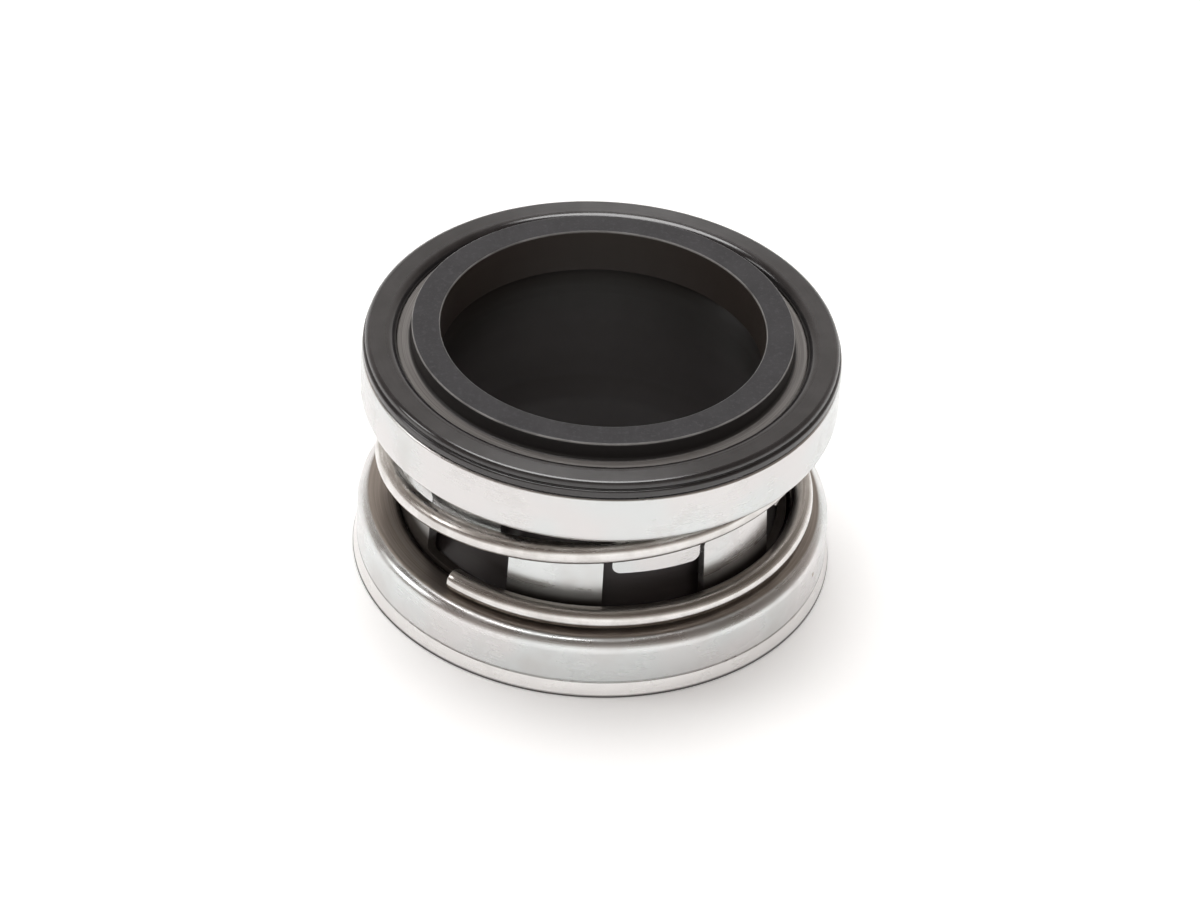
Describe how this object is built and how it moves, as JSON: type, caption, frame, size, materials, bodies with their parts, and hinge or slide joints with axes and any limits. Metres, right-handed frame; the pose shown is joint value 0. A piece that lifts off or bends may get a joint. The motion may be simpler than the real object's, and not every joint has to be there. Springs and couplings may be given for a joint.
{
  "type": "mechanical shaft seal head",
  "caption": "Rotary head of an elastomer-bellows shaft seal: carbon face ring in a rubber head, metal retainer with drive tabs, single coil spring, slotted drive band and spring holder.",
  "frame": {"origin": "on the shaft axis at the seat plane, where the tail end rests", "axes": "+Z along the shaft axis towards the sealing face; +X and +Y across the shaft"},
  "size_m": [0.0398, 0.0398, 0.0225],
  "materials": {
    "rubber": "matte moulded black rubber",
    "pressed_steel": "bright pressed stainless sheet",
    "spring_steel": "drawn stainless wire",
    "carbon": "fine turned carbon graphite, lapped face"
  },
  "bodies": {
    "tail": {"spring_holder": "pressed_steel", "drive_band": "pressed_steel", "bellows": "rubber", "spring": "spring_steel"},
    "head": {"retainer": "pressed_steel", "primary_ring": "carbon"}
  },
  "joints": [
    {"name": "head_slide", "type": "slide", "parent": "tail", "child": "head", "axis": [0, 0, 1], "range_m": [-0.004, 0], "stiffness_N_per_m": 2800, "deforming": ["spring", "bellows"]}
  ]
}
